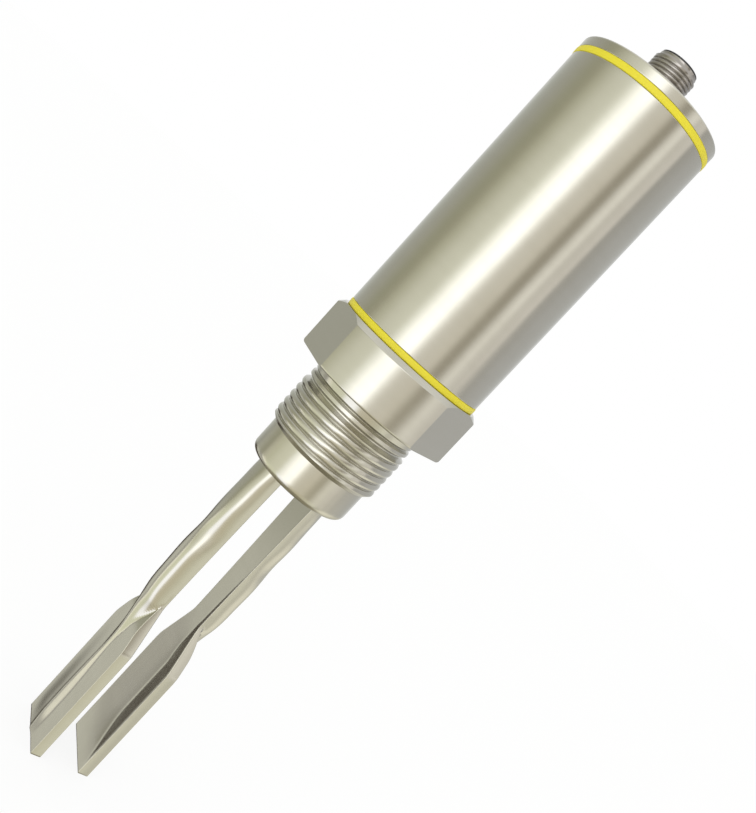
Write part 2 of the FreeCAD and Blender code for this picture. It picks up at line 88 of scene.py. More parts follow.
# Studio: the surroundings are a ring of upright panels, each at an angle from the camera's side, and
# the steel shows them as stripes along its length. They lean, and spread at the collar's height.
# The tines look down on a lower ring, with the ground under it and the ceiling over both.
panel_lean = 0.5
lowest_lean = -0.12
low_spread = 2.4
spread_ends, spread_full = -0.22, -0.16
lower_ring_starts, lower_ring_full = -0.27, -0.33
ceiling_starts, ceiling_full = 0.45, 0.9
ground_starts, ground_full = -0.68, -0.88
upper_panels = [
    (-180, (0.90, 0.90, 0.90)),
    (-152, (0.64, 0.66, 0.62)),
    (-128, (0.57, 0.575, 0.52)),
    (-114, (0.56, 0.56, 0.48)),
    (-96, (0.51, 0.51, 0.38)),
    (-86, (0.54, 0.53, 0.40)),
    (-74, (0.76, 0.76, 0.60)),
    (-58, (0.99, 0.99, 0.85)),
    (-38, (1.10, 1.11, 0.96)),
    (-30, (1.55, 1.57, 1.46)),
    (-22, (2.20, 2.20, 2.16)),
    (-5, (2.40, 2.40, 2.40)),
    (1, (1.40, 1.38, 1.32)),
    (7, (1.02, 0.99, 0.91)),
    (26, (0.99, 0.94, 0.83)),
    (34, (0.52, 0.48, 0.40)),
    (42, (0.52, 0.48, 0.40)),
    (50, (1.14, 1.11, 1.04)),
    (57, (1.32, 1.29, 1.22)),
    (64, (0.92, 0.89, 0.83)),
    (79, (1.06, 1.02, 0.97)),
    (84, (0.58, 0.57, 0.55)),
    (106, (0.66, 0.66, 0.66)),
    (148, (0.66, 0.67, 0.67)),
    (180, (0.90, 0.90, 0.90)),
]
lower_panels = [
    (-180, (0.60, 0.60, 0.56)),
    (-166, (0.54, 0.53, 0.48)),
    (-160, (0.06, 0.045, 0.03)),
    (-136, (0.05, 0.035, 0.025)),
    (-130, (0.84, 0.84, 0.77)),
    (-114, (0.84, 0.84, 0.75)),
    (-110, (0.56, 0.55, 0.52)),
    (-98, (0.56, 0.55, 0.52)),
    (-94, (1.50, 1.47, 1.34)),
    (-85, (1.45, 1.43, 1.24)),
    (-78, (1.08, 1.10, 0.86)),
    (-46, (1.14, 1.15, 0.94)),
    (-37, (1.80, 1.82, 1.95)),
    (-15, (1.80, 1.82, 1.95)),
    (-3, (0.95, 0.89, 0.72)),
    (20, (0.85, 0.79, 0.60)),
    (45, (0.96, 0.94, 0.76)),
    (62, (1.14, 1.13, 0.97)),
    (69, (0.84, 0.83, 0.72)),
    (78, (0.84, 0.82, 0.72)),
    (88, (1.26, 1.23, 1.08)),
    (114, (1.24, 1.21, 1.06)),
    (136, (0.82, 0.80, 0.70)),
    (180, (0.60, 0.60, 0.56)),
]
ceiling_colour = (1.10, 1.10, 1.06, 1.0)
ground_colour = (0.38, 0.35, 0.25, 1.0)


def place_node(tree, kind, inputs=(), **settings):
    """A node with its settings made and its inputs filled by values or by other nodes' outputs."""
    node = tree.nodes.new(kind)
    for name, value in settings.items():
        setattr(node, name, value)
    for socket, value in dict(inputs).items():
        if isinstance(value, bpy.types.NodeSocket):
            tree.links.new(value, node.inputs[socket])
        else:
            node.inputs[socket].default_value = value
    return node


def math_node(tree, operation, *values, **settings):
    """The output of a Math node."""
    node = place_node(tree, "ShaderNodeMath", dict(enumerate(values)), operation=operation, **settings)
    return node.outputs[0]


def colour_mix(tree, factor, first, second):
    """The output of a node that mixes two colours."""
    return place_node(tree, "ShaderNodeMix", {0: factor, 6: first, 7: second}, data_type="RGBA").outputs[2]


def fade(tree, value, start, full, interpolation="SMOOTHSTEP"):
    """A mask that goes from 0 to 1 while a value goes from its start to where the mask is full."""
    return place_node(
        tree, "ShaderNodeMapRange", {"Value": value, "From Min": start, "From Max": full},
        interpolation_type=interpolation,
    ).outputs[0]


world = bpy.data.worlds.new("studio")
world.use_nodes = True
bpy.context.scene.world = world
studio = world.node_tree
studio.nodes.clear()
direction = place_node(studio, "ShaderNodeTexCoord").outputs["Generated"]
turned = place_node(
    studio, "ShaderNodeVectorRotate", {"Vector": direction, "Angle": -camera_azimuth}, rotation_type="Z_AXIS"
)
sideways, onward, upright = place_node(studio, "ShaderNodeSeparateXYZ", {0: turned.outputs[0]}).outputs
angle = math_node(studio, "ARCTAN2", sideways, math_node(studio, "MULTIPLY", onward, -1.0))
height = math_node(studio, "MAXIMUM", upright, lowest_lean)
above_head = fade(studio, upright, spread_ends, spread_full, "LINEAR")
sunk = math_node(studio, "MULTIPLY", math_node(studio, "MINIMUM", height, 0.0), above_head)
spread_share = math_node(studio, "MULTIPLY", sunk, low_spread)
right_side = math_node(studio, "MAXIMUM", sideways, 0.0)
spreading = math_node(studio, "MULTIPLY_ADD", right_side, spread_share, angle)
leaning = math_node(studio, "MULTIPLY_ADD", height, -panel_lean, spreading)


def ring_of_panels(tree, bearing, panels):
    """The colours of a ring of panels, looked up by an angle in radians."""
    turn = math_node(tree, "FRACT", math_node(tree, "MULTIPLY_ADD", bearing, 0.5 / math.pi, 0.5))
    node = place_node(tree, "ShaderNodeValToRGB", {0: turn})
    ramp = node.color_ramp
    for degrees, _ in panels[1:-1]:
        ramp.elements.new(degrees / 360 + 0.5)
    for element, (degrees, colour) in zip(ramp.elements, panels):
        element.position = degrees / 360 + 0.5
        element.color = (*colour, 1.0)
    return node.outputs[0]


upper_ring = ring_of_panels(studio, leaning, upper_panels)
lower_ring = ring_of_panels(studio, angle, lower_panels)
rings = colour_mix(studio, fade(studio, upright, lower_ring_starts, lower_ring_full), upper_ring, lower_ring)
walls = colour_mix(studio, fade(studio, upright, ceiling_starts, ceiling_full), rings, ceiling_colour)
room = colour_mix(studio, fade(studio, upright, ground_starts, ground_full), walls, ground_colour)
lighting = place_node(studio, "ShaderNodeBackground", {"Color": room, "Strength": 1.0})
backdrop = place_node(studio, "ShaderNodeBackground", {"Color": (1.0, 1.0, 1.0, 1.0), "Strength": 1.0})
seen = place_node(studio, "ShaderNodeLightPath").outputs["Is Camera Ray"]
surroundings = place_node(
    studio, "ShaderNodeMixShader", {0: seen, 1: lighting.outputs[0], 2: backdrop.outputs[0]}
)
place_node(studio, "ShaderNodeOutputWorld", {"Surface": surroundings.outputs[0]})


# Floor: a plain white board on which the tips of the blades stand. It takes their shadow, and
# the camera sees it as white as the backdrop behind it.
floor_half = 2.0
floor_colour = (0.96, 0.97, 1.0, 1.0)
floor_whiteness = 0.85

floor_mesh = bpy.data.meshes.new("floor")
floor_corners = [
    (x * floor_half, y * floor_half, cad_low.z) for x, y in ((-1, -1), (1, -1), (1, 1), (-1, 1))
]
floor_mesh.from_pydata(floor_corners, [], [(0, 1, 2, 3)])
floor = bpy.data.objects.new("floor", floor_mesh)
bpy.context.scene.collection.objects.link(floor)
floor.visible_glossy = False
floor_paint = bpy.data.materials.new("floor_board")
floor_paint.use_nodes = True
board = floor_paint.node_tree
board.nodes.clear()
lit = place_node(board, "ShaderNodeBsdfDiffuse", {"Color": floor_colour})
white = place_node(board, "ShaderNodeEmission", {"Color": (1.0, 1.0, 1.0, 1.0), "Strength": 1.0})
to_camera = place_node(board, "ShaderNodeLightPath").outputs["Is Camera Ray"]
whitened = math_node(board, "MULTIPLY", to_camera, floor_whiteness)
surface = place_node(board, "ShaderNodeMixShader", {0: whitened, 1: lit.outputs[0], 2: white.outputs[0]})
place_node(board, "ShaderNodeOutputMaterial", {"Surface": surface.outputs[0]})
floor_mesh.materials.append(floor_paint)


# Process connection: the stainless body that screws into the tank wall. Collar, relief, G1 thread
# and the spigot inside the housing are turned from one bar, and the collar has two pairs of
# milled spanner flats. Its front, between two of them, stays round.
collar_low, collar_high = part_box("process_connection")
head_low, head_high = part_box("fork_head")
collar_radius = 23.0 * MM
collar_flat = collar_high.x
collar_facings = (0, 120, 180, 300)
collar_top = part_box("lower_gasket")[0].z
collar_bevel = 1.4 * MM
collar_rounding = 0.6 * MM
thread_radius = 16.625 * MM
thread_depth = 1.2 * MM
thread_pitch = 2.309 * MM
thread_end = collar_low.z
thread_start = -5.5 * MM
crest_fullness = 0.96
run_out_slope = 1.5
core_depth = 1.3
neck_root = 15.2 * MM
neck_ring_radius = 16.2 * MM
neck_ring_low = thread_start + 0.9 * MM
neck_ring_high = thread_start + 1.9 * MM
neck_foot = -2.5 * MM
neck_foot_radius = 16.0 * MM
neck_radius = 16.45 * MM
stack_bore = 11.0 * MM
register_bore = 12.9 * MM
register_height = 4.0 * MM
seat_radius = 16.5 * MM
seat_height = 8.0 * MM
spigot_radius = 19.15 * MM
o_ring_low, o_ring_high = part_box("lower_o_ring")
groove_radius = 17.65 * MM
steel_tone = (0.56, 0.545, 0.49, 1.0)
steel_shade = (0.50, 0.485, 0.425, 1.0)


def rounded_outline(corners, steps=5):
    """An outline's points from its corners, each with the radius that rounds it."""
    points = []
    count = len(corners)
    for place, (x, y, radius) in enumerate(corners):
        here = Vector((x, y))
        if radius == 0:
            points.append(here)
            continue
        back = Vector(corners[place - 1][:2]) - here
        ahead = Vector(corners[(place + 1) % count][:2]) - here
        back.normalize()
        ahead.normalize()
        half = back.angle(ahead) / 2
        reach = radius / math.tan(half)
        centre = here + (back + ahead).normalized() * (radius / math.sin(half))
        first = here + back * reach - centre
        sweep = first.angle_signed(here + ahead * reach - centre)
        points.append(here + back * (reach + 0.25 * radius))
        for step in range(steps + 1):
            turned_by = Matrix.Rotation(-sweep * step / steps, 2)
            points.append(centre + turned_by @ first)
        points.append(here + ahead * (reach + 0.25 * radius))
    return points


def finished_object(name, mesh):
    """A shown object with smooth faces that point outwards and no doubled points."""
    shape = bmesh.new()
    shape.from_mesh(mesh)
    bmesh.ops.remove_doubles(shape, verts=shape.verts, dist=0.0005 * MM)
    bmesh.ops.recalc_face_normals(shape, faces=shape.faces)
    for face in shape.faces:
        face.smooth = True
    shape.to_mesh(mesh)
    shape.free()
    mesh.set_sharp_from_angle(angle=math.radians(50))
    piece = bpy.data.objects.new(name, mesh)
    bpy.context.scene.collection.objects.link(piece)
    return piece


def loft(name, rings, capped):
    """A piece skinned over closed rings of points, with capped ends or joined round into itself."""
    count = len(rings[0])
    faces = []
    for place in range(len(rings) - capped):
        here = place * count
        ahead = (place + 1) % len(rings) * count
        for side in range(count):
            beside = (side + 1) % count
            faces.append((here + side, here + beside, ahead + beside, ahead + side))
    if capped:
        faces.append(tuple(range(count)))
        faces.append(tuple(range((len(rings) - 1) * count, len(rings) * count)))
    mesh = bpy.data.meshes.new(name)
    mesh.from_pydata([tuple(point) for ring in rings for point in ring], [], faces)
    return finished_object(name, mesh)


def turned_piece(name, outline, around=192):
    """A piece turned about Z from a closed outline of radius and height points."""
    rings = []
    for step in range(around):
        angle = 2 * math.pi * step / around
        rings.append([(r * math.cos(angle), r * math.sin(angle), z) for r, z in outline])
    return loft(name, rings, capped=False)


def thread_cutter():
    """A tree that cuts a right handed thread with round crests into a turned piece, between two heights."""
    tree = bpy.data.node_groups.new("cut_thread", "GeometryNodeTree")
    tree.interface.new_socket("Geometry", in_out="INPUT", socket_type="NodeSocketGeometry")
    for size in ("Pitch", "Crest Radius", "Depth", "Low End", "High End"):
        tree.interface.new_socket(size, in_out="INPUT", socket_type="NodeSocketFloat")
    tree.interface.new_socket("Finish", in_out="INPUT", socket_type="NodeSocketMaterial")
    tree.interface.new_socket("Geometry", in_out="OUTPUT", socket_type="NodeSocketGeometry")
    given = place_node(tree, "NodeGroupInput").outputs
    place = place_node(tree, "GeometryNodeInputPosition").outputs[0]
    parts = place_node(tree, "ShaderNodeSeparateXYZ", {0: place}).outputs
    flat = place_node(tree, "ShaderNodeCombineXYZ", {0: parts[0], 1: parts[1]}).outputs[0]
    radius = place_node(tree, "ShaderNodeVectorMath", {0: flat}, operation="LENGTH").outputs["Value"]
    bearing = math_node(tree, "DIVIDE", math_node(tree, "ARCTAN2", parts[1], parts[0]), 2 * math.pi)
    rise = math_node(tree, "DIVIDE", parts[2], given["Pitch"])
    wave = math_node(tree, "FRACT", math_node(tree, "SUBTRACT", rise, bearing))
    flank = math_node(tree, "ABSOLUTE", math_node(tree, "MULTIPLY_ADD", wave, 2.0, -1.0))
    fallen = math_node(tree, "MULTIPLY_ADD", math_node(tree, "MULTIPLY", flank, flank), -crest_fullness, 1.0)
    rounded = math_node(tree, "SUBTRACT", 1.0, math_node(tree, "SQRT", fallen))
    below_top = math_node(tree, "SUBTRACT", given["High End"], parts[2])
    turns_below = math_node(tree, "DIVIDE", below_top, given["Pitch"])
    run_out = math_node(tree, "MULTIPLY", turns_below, run_out_slope, use_clamp=True)
    groove = math_node(tree, "MULTIPLY", math_node(tree, "MULTIPLY", given["Depth"], rounded), run_out)
    cut = math_node(tree, "SUBTRACT", given["Crest Radius"], groove)
    kept = math_node(tree, "MINIMUM", cut, radius)
    ratio = math_node(tree, "DIVIDE", kept, radius)
    scale = place_node(tree, "ShaderNodeCombineXYZ", {0: ratio, 1: ratio, 2: 1.0}).outputs[0]
    moved = place_node(tree, "ShaderNodeVectorMath", {0: place, 1: scale}, operation="MULTIPLY").outputs[0]
    above = place_node(
        tree, "FunctionNodeCompare", {0: parts[2], 1: given["Low End"]}, operation="GREATER_EQUAL"
    )
    below = place_node(
        tree, "FunctionNodeCompare", {0: parts[2], 1: given["High End"]}, operation="LESS_EQUAL"
    )
    between = place_node(tree, "FunctionNodeBooleanMath", {0: above.outputs[0], 1: below.outputs[0]})
    deepest = math_node(tree, "MULTIPLY", given["Depth"], core_depth)
    core = math_node(tree, "SUBTRACT", given["Crest Radius"], deepest)
    outside = place_node(tree, "FunctionNodeCompare", {0: radius, 1: core}, operation="GREATER_THAN")
    chosen = place_node(tree, "FunctionNodeBooleanMath", {0: between.outputs[0], 1: outside.outputs[0]})
    cutting = place_node(
        tree, "GeometryNodeSetPosition",
        {"Geometry": given["Geometry"], "Selection": chosen.outputs[0], "Position": moved},
    )
    realised = place_node(tree, "GeometryNodeRealizeInstances", {0: cutting.outputs[0]})
    coated = place_node(
        tree, "GeometryNodeSetMaterial", {"Geometry": realised.outputs[0], "Material": given["Finish"]}
    )
    place_node(tree, "NodeGroupOutput", {"Geometry": coated.outputs[0]})
    return tree


def shape_by_nodes(piece, tree, values):
    """Runs a geometry tree on a piece with its named inputs and keeps the result as a plain mesh."""
    modifier = piece.modifiers.new(tree.name, "NODES")
    modifier.node_group = tree
    for item in tree.interface.items_tree:
        if item.in_out == "INPUT" and item.name in values:
            modifier[item.identifier] = values[item.name]
    piece.update_tag()
    evaluated = piece.evaluated_get(bpy.context.evaluated_depsgraph_get())
    mesh = bpy.data.meshes.new_from_object(evaluated)
    piece.modifiers.remove(modifier)
    piece.data = mesh
    return piece


def surface_group(name, inputs, outputs):
    """An empty shader node group with float inputs at their usual values, and its outputs."""
    group = bpy.data.node_groups.new(name, "ShaderNodeTree")
    for label, usual in inputs.items():
        socket = group.interface.new_socket(label, in_out="INPUT", socket_type="NodeSocketFloat")
        socket.default_value = usual
    for label in outputs:
        group.interface.new_socket(label, in_out="OUTPUT", socket_type="NodeSocketFloat")
    return group


def drawn_noise(group, across, along, detail):
    """Noise on Object coordinates with one scale across Z and another along it."""
    place = place_node(group, "ShaderNodeTexCoord").outputs["Object"]
    scale = place_node(group, "ShaderNodeCombineXYZ", {0: across, 1: across, 2: along})
    drawn = place_node(group, "ShaderNodeVectorMath", {0: place, 1: scale.outputs[0]}, operation="MULTIPLY")
    noise = place_node(
        group, "ShaderNodeTexNoise", {"Vector": drawn.outputs[0], "Scale": 1.0, "Detail": detail}
    )
    return noise.outputs["Fac"]


def tool_marks():
    """Fine lines that a tool leaves, and broader bands, drawn out across and along Z."""
    usual = {"Across": 60.0, "Along": 5200.0, "Band Across": 12.0, "Band Along": 500.0}
    group = surface_group("tool_marks", usual, ("Lines", "Bands"))
    given = place_node(group, "NodeGroupInput").outputs
    lines = drawn_noise(group, given["Across"], given["Along"], 2.0)
    bands = drawn_noise(group, given["Band Across"], given["Band Along"], 1.0)
    place_node(group, "NodeGroupOutput", {"Lines": lines, "Bands": bands})
    return group


def cloudiness():
    """Soft patches, as handling and cleaning leave on a surface, with finer specks in them."""
    group = surface_group("cloudiness", {"Patch": 60.0, "Speck": 1400.0}, ("Patches", "Specks"))
    given = place_node(group, "NodeGroupInput").outputs
    place = place_node(group, "ShaderNodeTexCoord").outputs["Object"]
    patches = place_node(group, "ShaderNodeTexNoise", {
        "Vector": place, "Scale": given["Patch"], "Detail": 3.0, "Roughness": 0.55,
    })
    specks = place_node(group, "ShaderNodeTexNoise", {
        "Vector": place, "Scale": given["Speck"], "Detail": 2.0,
    })
    place_node(group, "NodeGroupOutput", {
        "Patches": patches.outputs["Fac"], "Specks": specks.outputs["Fac"],
    })
    return group


def spread(tree, value, low, high):
    """A mask of 0 to 1 brought to the range between two values."""
    return place_node(tree, "ShaderNodeMapRange", {"Value": value, "To Min": low, "To Max": high}).outputs[0]


tool_marks_group = tool_marks()
cloudiness_group = cloudiness()


def machined_steel(name, tone, shade, roughness, across=60.0, along=5200.0, relief=0.004, stretch=0.85):
    """Stainless steel with tool marks round its axis, soft patches and a blurred gloss along Z."""
    material = bpy.data.materials.new(name)
    material.use_nodes = True
    tree = material.node_tree
    tree.nodes.clear()
    marks = place_node(tree, "ShaderNodeGroup", node_tree=tool_marks_group)
    marks.inputs["Across"].default_value = across
    marks.inputs["Along"].default_value = along
    clouds = place_node(tree, "ShaderNodeGroup", node_tree=cloudiness_group)
    banding = math_node(tree, "MULTIPLY", marks.outputs["Bands"], 0.4)
    blend = math_node(tree, "MULTIPLY_ADD", clouds.outputs["Patches"], 0.6, banding)
    colour = colour_mix(tree, blend, tone, shade)
    clouded = spread(tree, clouds.outputs["Patches"], roughness - 0.05, roughness + 0.05)
    gloss = math_node(tree, "ADD", clouded, spread(tree, marks.outputs["Lines"], -0.03, 0.03))
    bump = place_node(
        tree, "ShaderNodeBump", {"Height": marks.outputs["Lines"], "Distance": relief * MM, "Strength": 1.0}
    )
    tangent = place_node(tree, "ShaderNodeTangent", direction_type="RADIAL", axis="Z")
    steel = place_node(tree, "ShaderNodeBsdfPrincipled", {
        "Base Color": colour, "Metallic": 1.0, "Roughness": gloss, "Normal": bump.outputs[0],
        "Anisotropic": stretch, "Anisotropic Rotation": 0.25, "Tangent": tangent.outputs[0],
    })
    place_node(tree, "ShaderNodeOutputMaterial", {"Surface": steel.outputs[0]})
    return material


connection_steel = machined_steel("connection_steel", steel_tone, steel_shade, 0.21)
edge = 0.25 * MM
thread_rows = 128
thread_heights = [
    thread_end + (thread_start - thread_end) * row / thread_rows for row in range(1, thread_rows)
]


def thread_envelope(z):
    """The radius of the blank before the thread is cut: chamfered at its end, sloping to the neck."""
    chamfer = thread_radius - thread_depth + (z - thread_end)
    return min(thread_radius, chamfer, neck_root + run_out_slope * (thread_start - z))


connection_outline = rounded_outline([
    (neck_root, thread_start, 0.0),
    (neck_root, neck_ring_low - 0.6 * MM, 0.1 * MM),
    (neck_ring_radius, neck_ring_low, 0.3 * MM),
    (neck_ring_radius, neck_ring_high, 0.3 * MM),
    (neck_root, neck_ring_high + 0.5 * MM, 0.1 * MM),
    (neck_foot_radius, neck_foot, 0.3 * MM),
    (neck_radius, 0.0, edge),
    (collar_radius, 0.0, collar_rounding),
    (collar_radius, collar_top - collar_bevel, edge),
    (collar_radius - collar_bevel, collar_top, edge),
    (spigot_radius, collar_top, 0.0),
    (spigot_radius, o_ring_low.z, 0.0),
    (groove_radius, o_ring_low.z, 0.0),
    (groove_radius, o_ring_high.z, 0.0),
    (spigot_radius, o_ring_high.z, 0.0),
    (spigot_radius, collar_high.z, edge),
    (seat_radius, collar_high.z, edge),
    (seat_radius, seat_height, 0.0),
    (stack_bore, seat_height, edge),
    (stack_bore, thread_end + register_height, 0.0),
    (register_bore, thread_end + register_height, 0.0),
    (register_bore, thread_end, 0.0),
    (thread_radius - thread_depth, thread_end, 0.0),
])
connection_outline += [Vector((thread_envelope(z), z)) for z in thread_heights]


def milled(piece, distance, facings):
    """Cuts upright flats into a turned piece's side, each at this distance from the axis."""
    shape = bmesh.new()
    shape.from_mesh(piece.data)
    for degrees in facings:
        outward = Matrix.Rotation(math.radians(degrees), 3, "Z") @ Vector((1.0, 0.0, 0.0))
        cut = bmesh.ops.bisect_plane(
            shape, geom=shape.verts[:] + shape.edges[:] + shape.faces[:], dist=0.0001 * MM,
            plane_co=outward * distance, plane_no=outward, clear_outer=True,
        )
        rim = [part for part in cut["geom_cut"] if isinstance(part, bmesh.types.BMEdge)]
        bmesh.ops.contextual_create(shape, geom=rim)
    bmesh.ops.recalc_face_normals(shape, faces=shape.faces)
    shape.to_mesh(piece.data)
    shape.free()
    piece.data.set_sharp_from_angle(angle=math.radians(20))


process_connection = turned_piece("process_connection_turned", connection_outline, 256)
milled(process_connection, collar_flat, collar_facings)
thread_tree = thread_cutter()
process_connection = shape_by_nodes(process_connection, thread_tree, {
    "Pitch": thread_pitch,
    "Crest Radius": thread_radius,
    "Depth": thread_depth,
    "Low End": thread_end,
    "High End": thread_start,
    "Finish": connection_steel,
})
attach(process_connection, "root")
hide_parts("process_connection")


# Fork head: a turned steel cup that closes the body below the thread. Its thin floor is the
# diaphragm that the drive stack flexes, and its outer edge is rounded where it meets the tines.
head_radius = head_high.x
head_bottom = head_low.z
diaphragm_top = head_bottom + 1.6 * MM
boss_top = diaphragm_top + 2.5 * MM
boss_radius = 5.0 * MM
bolt_radius = 2.5 * MM
head_edge = 1.9 * MM

head_outline = rounded_outline([
    (0.0, diaphragm_top, 0.0),
    (bolt_radius, diaphragm_top, 0.0),
    (bolt_radius, boss_top, 0.0),
    (boss_radius, boss_top, edge),
    (boss_radius, diaphragm_top, edge),
    (stack_bore, diaphragm_top, edge),
    (stack_bore, head_high.z, 0.0),
    (register_bore, head_high.z, 0.0),
    (register_bore, thread_end, 0.0),
    (head_radius, thread_end, edge),
    (head_radius, head_bottom, head_edge),
    (0.0, head_bottom, 0.0),
], steps=8)
fork_steel = machined_steel(
    "fork_steel", (0.56, 0.545, 0.48, 1.0), (0.50, 0.48, 0.41, 1.0), 0.2, relief=0.002
)
fork_head = turned_piece("fork_head_turned", head_outline)
fork_head.data.materials.append(fork_steel)
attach(fork_head, "root")
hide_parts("fork_head")


# Tines: two steel prongs forged and ground by hand. Each starts as a round backed stem, flat on
# the inside, and is hammered out over two shoulders into a broad blade. On the blade's back the
# stem runs out as a wedge into a low keel, and its inside is dished towards the near edge.
tine_low, tine_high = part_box("tine_right")
tine_inner = tine_low.x / MM
tine_length = (head_bottom - tine_low.z) / MM
blade_half = tine_high.y / MM
root_half, middle_half, waist_half = 5.6, 4.8, 4.35
root_crown, middle_crown, waist_crown = 5.2, 6.2, 5.9
waist_at = 46.8
crown_falls, crown_fallen, crown_drop = waist_at - 6.0, waist_at + 20.9, 2.64
flattening = (waist_at - 5.0, waist_at + 9.0)
pointing = (waist_at - 3.0, waist_at + 9.0)
shoulder_length = 13.5
stem_edge = 0.35
stem_squareness = 2.5
grinding_waves = ((0.28, 4.6, 0.0), (0.16, 2.3, 1.0))
ridge_length = 19.0
ridge_end_half = 1.25
ridge_foot = 2.4
blade_edge, blade_crown = 3.1, 3.2
keel_half, keel_height = 3.5, 0.6
keel_start, keel_widest, keel_end = 57.0, 84.0, 101.0
keel_rise, keel_fall, keel_least = 8.0, 12.0, 0.25
dish_slope, dish_margin = 0.205, 0.35
groove_start, groove_full, groove_depth = 16.0, 46.0, 0.3
dish_start, dish_full, dish_depth = 44.0, 59.0, 1.4
dish_fades, dish_end = 79.0, 97.0
inner_corner, back_corner = 0.25, 0.14
tip_height, tip_inset = 0.2, 0.15
outline_blend, ridge_blend, dish_blend = 0.3, 0.25, 0.06
back_points, inside_points = 57, 30
tine_steps = 150


def through(distance, root, middle, waist):
    """A size that runs smoothly through its values at the root, half way and at the waist."""
    along = min(distance / waist_at, 1.0)
    ends = root * (1 - along) * (1 - 2 * along) + waist * along * (2 * along - 1)
    return ends + 4 * middle * along * (1 - along)


def soft_most(first, second, blend):
    """The larger of two sizes, with the change from one to the other rounded over a width."""
    return (first + second + math.sqrt((first - second) ** 2 + blend * blend)) / 2


def soft_least(first, second, blend):
    """The smaller of two sizes, with the change from one to the other rounded over a width."""
    return -soft_most(-first, -second, blend)


def eased(value, low, high):
    """How far a value lies between two others, from 0 to 1, with a soft start and end."""
    share = min(max((value - low) / (high - low), 0.0), 1.0)
    return share * share * (3 - 2 * share)


def plate_back(y, half, edge_height, rise):
    """The height of a flat blade's back, with its two long edges rounded."""
    from_edge = half - abs(y)
    height = edge_height + rise * (1 - (y / half) ** 2)
    if from_edge < back_corner:
        height -= back_corner - math.sqrt(max(back_corner ** 2 - (back_corner - from_edge) ** 2, 0.0))
    return height


def ridge_back(y, half, foot, crown, distance):
    """The height of the stem's round back, which turns into a pointed wedge below the waist."""
    across = abs(y) / half
    if across >= 1:
        return foot - (abs(y) - half) * 2.0
    pointed = eased(distance, *pointing)
    ground = sum(depth * math.sin(distance / length + start) for depth, length, start in grinding_waves)
    squareness = stem_squareness + ground
    power = squareness + (2.0 - squareness) * pointed
    return foot + (crown - foot) * (1 - across ** power) ** (1 / (squareness + (1.0 - squareness) * pointed))


def dish(y, half, distance):
    """The depth of the dished inside, which falls gently from the far edge and rises to the near one."""
    depth = groove_depth * eased(distance, groove_start, groove_full)
    depth += (dish_depth - groove_depth) * eased(distance, dish_start, dish_full)
    depth *= 1 - eased(distance, dish_fades, dish_end)
    rim = half - dish_margin
    foot = depth / dish_slope - rim
    near_wall = (y + rim) * dish_slope
    far_floor = (rim - y) * depth / (rim - foot)
    return max(soft_least(near_wall, far_floor, dish_blend), 0.0)


def tine_ring(distance, inset=0.0):
    """The points round the right tine at a distance below the head."""
    past_waist = max(distance - waist_at, 0.0) / ridge_length
    fallen = eased(distance, crown_falls, crown_fallen)
    stem_half = through(distance, root_half, middle_half, waist_half)
    crown = through(distance, root_crown, middle_crown, waist_crown)
    ridge_half = stem_half + (ridge_end_half - waist_half) * min(past_waist, 1.0)
    ridge_crown = crown - crown_drop * fallen
    slope = (blade_half - waist_half) / shoulder_length
    shoulder = waist_half + slope * (distance - waist_at)
    widest = soft_most(stem_half, shoulder, outline_blend)
    half = soft_least(widest, blade_half, outline_blend) - inset
    flattened = eased(distance, *flattening)
    edge_height = stem_edge + (blade_edge - stem_edge) * flattened
    foot = stem_edge + (ridge_foot - stem_edge) * flattened
    rise = (blade_crown - blade_edge) * flattened
    keel_share = keel_least + (1 - keel_least) * eased(distance, keel_start, keel_widest)
    keel = keel_height * keel_share * eased(distance, keel_start, keel_start + keel_rise)
    keel *= 1 - eased(distance, keel_end - keel_fall, keel_end)
    ring = [(inset, -half, inner_corner)]
    for step in range(1, inside_points):
        y = -half + 2 * half * step / inside_points
        ring.append((inset + dish(y, half, distance), y, 0.0))
    ring.append((inset, half, inner_corner))
    for step in range(back_points):
        y = half * math.cos(math.pi * step / (back_points - 1))
        back = plate_back(y, half, edge_height, rise)
        ridge = ridge_back(y, min(ridge_half, half), foot, ridge_crown, distance)
        if y < 0:
            hump = keel * max(1 - (y / (keel_half * keel_share)) ** 2, 0.0) ** 2
        else:
            hump = keel * (1 - eased(y, 0.0, 0.95 * half))
        ring.append((soft_most(back, ridge, ridge_blend) + hump - inset, y, 0.0))
    height = head_bottom / MM - distance
    return [((tine_inner + x) * MM, y * MM, height * MM) for x, y in rounded_outline(ring, 4)]


tine_steel = machined_steel(
    "tine_steel", (0.56, 0.545, 0.485, 1.0), (0.50, 0.485, 0.42, 1.0), 0.22, across=700.0, along=30.0,
    relief=0.0005, stretch=0.0,
)
tine_rings = [tine_ring(tine_length * step / tine_steps) for step in range(tine_steps)]
tine_rings.append(tine_ring(tine_length - tip_height))
tine_rings.append(tine_ring(tine_length, tip_inset))
for name, side in (("tine_right", 1), ("tine_left", -1)):
    rings = [[(x * side, y, z) for x, y, z in ring] for ring in tine_rings]
    tine = loft(name + "_forged", rings, capped=True)
    tine.data.materials.append(tine_steel)
    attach(tine, "root")
    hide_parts(name)


# Flat gaskets: two yellow silicone rings, one between collar and housing and one between housing
# and cap. They are squeezed a little proud of the steel and mark the joints as coloured lines.
gasket_bore = spigot_radius
gasket_rounding = 0.35 * MM
yellow = (0.80, 0.71, 0.03, 1.0)
deep_yellow = (0.70, 0.60, 0.02, 1.0)


